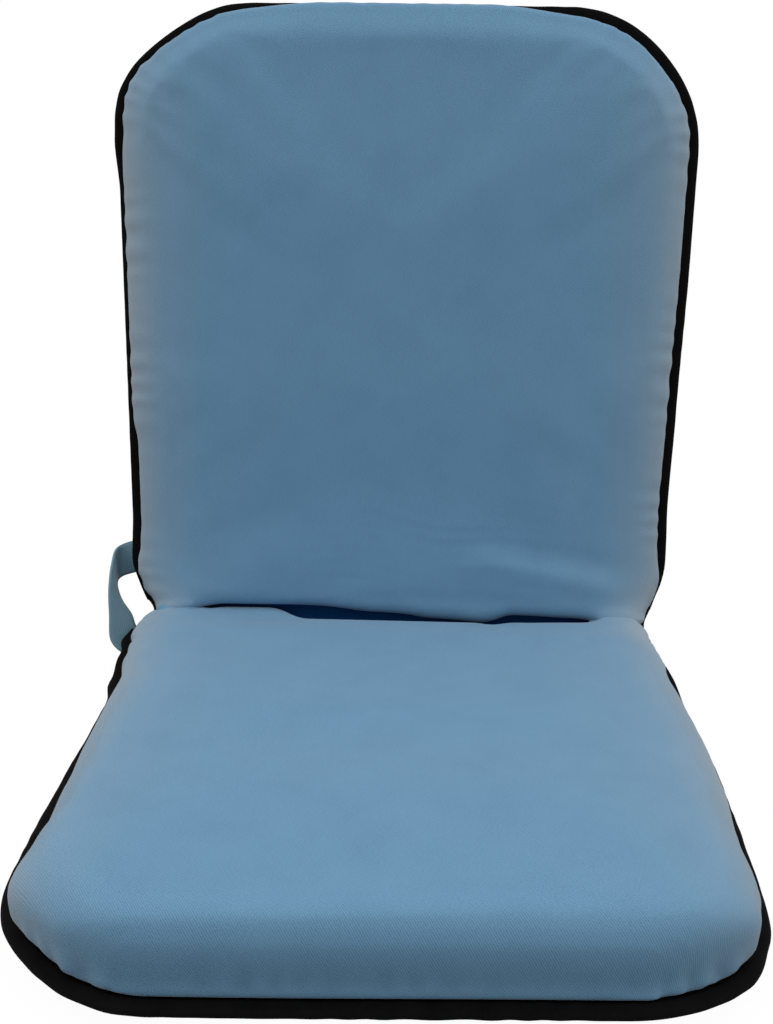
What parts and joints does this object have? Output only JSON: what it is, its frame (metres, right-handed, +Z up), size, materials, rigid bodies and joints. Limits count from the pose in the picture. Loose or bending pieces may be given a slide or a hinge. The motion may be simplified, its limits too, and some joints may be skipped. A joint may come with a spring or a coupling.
{
  "type": "folding lounge chair",
  "caption": "Low legless folding floor chair: a padded seat and a padded back in blue cloth with black edge binding, joined by ratchet hinges, with a webbing carry strap beside the hinge.",
  "frame": {"origin": "middle of the seat's flat underside, on the floor", "axes": "+Z up, the chair faces -Y, +X is the chair's right seen from in front, the hinge axis runs along X"},
  "size_m": [0.4488, 0.5274, 0.4758],
  "materials": {
    "blue_cloth": "fine twill weave, matt",
    "black_cloth": "plain weave, matt",
    "black_binding": "woven tape, matt",
    "blue_webbing": "ribbed webbing",
    "foam": "open-cell foam",
    "tube_steel": "black powder coat",
    "hinge_steel": "zinc-plated, satin"
  },
  "bodies": {
    "seat": {"carry_strap": "blue_webbing", "crease_web": "blue_cloth", "hinge_cover_left": "blue_cloth", "hinge_cover_right": "blue_cloth", "ratchet_plate_left": "hinge_steel", "ratchet_plate_right": "hinge_steel", "rear_web": "black_cloth", "seat_binding": "black_binding", "seat_bottom_cover": "black_cloth", "seat_cross_tube": "tube_steel", "seat_foam": "foam", "seat_frame_tube": "tube_steel", "seat_rivet_left_far": "hinge_steel", "seat_rivet_left_near": "hinge_steel", "seat_rivet_right_far": "hinge_steel", "seat_rivet_right_near": "hinge_steel", "seat_top_cover": "blue_cloth", "waist_binding_left": "black_binding", "waist_binding_right": "black_binding"},
    "back": {"back_binding": "black_binding", "back_cross_tube": "tube_steel", "back_foam": "foam", "back_frame_tube": "tube_steel", "back_front_cover": "blue_cloth", "back_rear_cover": "black_cloth", "back_rivet_left_far": "hinge_steel", "back_rivet_left_near": "hinge_steel", "back_rivet_right_far": "hinge_steel", "back_rivet_right_near": "hinge_steel", "hinge_inner_cheek_left": "hinge_steel", "hinge_inner_cheek_right": "hinge_steel", "hinge_outer_cheek_left": "hinge_steel", "hinge_outer_cheek_right": "hinge_steel", "pawl_pin_left": "hinge_steel", "pawl_pin_right": "hinge_steel", "pawl_spring_left": "hinge_steel", "pawl_spring_right": "hinge_steel", "pivot_rivet_left": "hinge_steel", "pivot_rivet_right": "hinge_steel"},
    "pawl_left": {"pawl_left": "hinge_steel"},
    "pawl_right": {"pawl_right": "hinge_steel"}
  },
  "joints": [
    {"name": "back_fold", "type": "hinge", "parent": "seat", "child": "back", "pos_m": [0, 0.2, 0.04], "axis": [1, 0, 0], "range_deg": [-78, 90], "deforming": ["crease_web", "hinge_cover_left", "hinge_cover_right", "rear_web", "waist_binding_left", "waist_binding_right", "carry_strap"]},
    {"name": "pawl_left_rock", "type": "hinge", "parent": "back", "child": "pawl_left", "pos_m": [-0.176, 0.2202, 0.05473], "axis": [1, 0, 0], "range_deg": [-12, 0], "deforming": ["pawl_spring_left"]},
    {"name": "pawl_right_rock", "type": "hinge", "parent": "back", "child": "pawl_right", "pos_m": [0.176, 0.2202, 0.05473], "axis": [1, 0, 0], "range_deg": [-12, 0], "deforming": ["pawl_spring_right"]}
  ]
}
